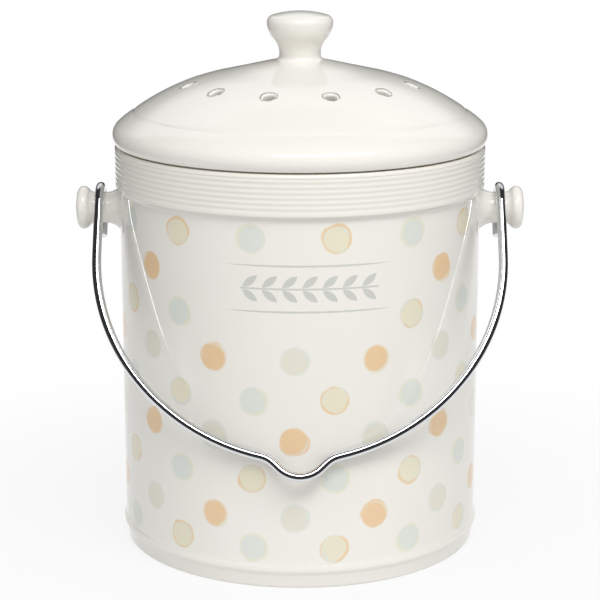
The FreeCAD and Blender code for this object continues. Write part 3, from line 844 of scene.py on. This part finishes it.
bpy.ops.object.shade_smooth_by_angle(angle=math.radians(35))
cover.data.materials.clear()
cover.data.materials.append(satin_plastic)
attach(cover, "cover")
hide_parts("filter_cover")

# STUDIO
# Pale floor, one large softbox above the camera and a white sheet behind. The camera sees floor and room
# as white. Shiny pieces see white only behind the object and a dark room elsewhere, and matt surfaces get
# a fill that is strongest from the front.
DARK_ROOM = 0.04
SHEET_WHITE = 0.9
SIDE_FILL = 0.18
FRONT_FILL = 0.92
BACK_FILL = 0.8
CAMERA_PITCH = math.radians(13.75)
bpy.ops.object.select_all(action="DESELECT")
bpy.ops.mesh.primitive_plane_add(size=12)
floor = bpy.context.object
floor.name = "studio_floor"
floor_paint = bpy.data.materials.new("pale_studio_floor")
floor_paint.use_nodes = True
tree = floor_paint.node_tree
tree.nodes.remove(tree.nodes["Principled BSDF"])
rays = add_node(tree, "ShaderNodeLightPath")
seen_clear = add_node(
    tree,
    "ShaderNodeMath",
    {0: rays.outputs["Is Camera Ray"], 1: rays.outputs["Is Transmission Ray"]},
    operation="MAXIMUM",
)
seen = add_node(
    tree, "ShaderNodeMath", {0: seen_clear, 1: rays.outputs["Is Glossy Ray"]}, operation="MAXIMUM"
)
coordinates = add_node(tree, "ShaderNodeTexCoord")
away = add_node(tree, "ShaderNodeVectorMath", {0: coordinates.outputs["Object"]}, operation="LENGTH")
clear = add_node(tree, "ShaderNodeMapRange", {0: away.outputs["Value"], 1: 0.08, 2: 0.3, 3: 0.85, 4: 1})
whole = add_node(tree, "ShaderNodeMath", {0: clear, 1: rays.outputs["Is Glossy Ray"]}, operation="MAXIMUM")
white_share = add_node(tree, "ShaderNodeMath", {0: seen, 1: whole}, operation="MULTIPLY")
matt = add_node(tree, "ShaderNodeBsdfDiffuse", {"Color": linear("#E2E2E2")})
floor_axes = add_node(tree, "ShaderNodeSeparateXYZ", {0: coordinates.outputs["Object"]})
lit_back = add_node(tree, "ShaderNodeMapRange", {0: floor_axes.outputs["Y"], 1: -0.2, 2: -0.14})
floor_side = add_node(tree, "ShaderNodeMath", {0: floor_axes.outputs["X"]}, operation="ABSOLUTE")
lit_middle = add_node(tree, "ShaderNodeMapRange", {0: floor_side, 1: 0.5, 2: 0.36})
lit_sheet = add_node(tree, "ShaderNodeMath", {0: lit_back, 1: lit_middle}, operation="MULTIPLY")
lit = add_node(tree, "ShaderNodeMapRange", {0: lit_sheet, 3: DARK_ROOM, 4: 1})
glow_level = add_node(
    tree, "ShaderNodeMix", {0: rays.outputs["Is Glossy Ray"], 2: 1.0, 3: lit}, data_type="FLOAT"
)
glow = add_node(tree, "ShaderNodeEmission", {"Color": (1, 1, 1, 1), "Strength": glow_level})
mixed = add_node(tree, "ShaderNodeMixShader", {0: white_share, 1: matt, 2: glow})
tree.links.new(mixed.outputs[0], tree.nodes["Material Output"].inputs["Surface"])
floor.data.materials.append(floor_paint)

lamp = bpy.data.lights.new("key_softbox", "AREA")
lamp.shape = "RECTANGLE"
lamp.size = 1.3
lamp.size_y = 0.46
lamp.energy = 13.6
softbox = bpy.data.objects.new("key_softbox", lamp)
softbox.location = (0.28, -0.84, 1.35)
away_from_crock = softbox.location - Vector((0, 0, 0.11))
softbox.rotation_euler = away_from_crock.to_track_quat("Z", "Y").to_euler()
bpy.context.collection.objects.link(softbox)

world = bpy.data.worlds.new("white_studio")
world.use_nodes = True
bpy.context.scene.world = world
tree = world.node_tree
rays = add_node(tree, "ShaderNodeLightPath")
seen_clear = add_node(
    tree,
    "ShaderNodeMath",
    {0: rays.outputs["Is Camera Ray"], 1: rays.outputs["Is Transmission Ray"]},
    operation="MAXIMUM",
)
direction = add_node(tree, "ShaderNodeTexCoord")
heading = add_node(tree, "ShaderNodeSeparateXYZ", {0: direction.outputs["Generated"]})
sideways = add_node(tree, "ShaderNodeMath", {0: heading.outputs["X"]}, operation="ABSOLUTE")
sweep_edge = add_node(tree, "ShaderNodeMath", {0: heading.outputs["Y"], 1: sideways}, operation="SUBTRACT")
behind = add_node(tree, "ShaderNodeMapRange", {0: sweep_edge, 1: -0.1, 2: 0.1})
above = add_node(tree, "ShaderNodeMapRange", {0: heading.outputs["Z"], 1: 0.3, 2: 0.5})
below_top = add_node(tree, "ShaderNodeMapRange", {0: heading.outputs["Z"], 1: 0.93, 2: 0.8})
tall = add_node(tree, "ShaderNodeMath", {0: above, 1: below_top}, operation="MULTIPLY")
back_sheet = add_node(tree, "ShaderNodeMath", {0: behind, 1: tall}, operation="MULTIPLY")
sweep = add_node(tree, "ShaderNodeMapRange", {0: back_sheet, 3: DARK_ROOM, 4: SHEET_WHITE})
front_fill = add_node(
    tree, "ShaderNodeMapRange", {0: heading.outputs["Y"], 1: 0.3, 2: -0.9, 3: SIDE_FILL, 4: FRONT_FILL}
)
back_fill = add_node(
    tree, "ShaderNodeMapRange", {0: heading.outputs["Y"], 1: 0.4, 2: 0.9, 3: SIDE_FILL, 4: BACK_FILL}
)
soft_fill = add_node(tree, "ShaderNodeMath", {0: front_fill, 1: back_fill}, operation="MAXIMUM")
room = add_node(
    tree, "ShaderNodeMix", {0: rays.outputs["Is Glossy Ray"], 2: soft_fill, 3: sweep}, data_type="FLOAT"
)
strength = add_node(tree, "ShaderNodeMix", {0: seen_clear, 2: room, 3: 1.0}, data_type="FLOAT")
background = tree.nodes["Background"]
background.inputs["Color"].default_value = (1, 1, 1, 1)
tree.links.new(strength.outputs[0], background.inputs["Strength"])

lens = bpy.data.cameras.new("photo_camera")
lens.lens = 122.28
lens.sensor_width = 36
camera = bpy.data.objects.new("photo_camera", lens)
camera.location = (0, -0.8943, 0.3262)
camera.rotation_euler = (math.pi / 2 - CAMERA_PITCH, 0, 0)
bpy.context.collection.objects.link(camera)
bpy.context.scene.camera = camera
bpy.context.scene.view_settings.view_transform = "Standard"
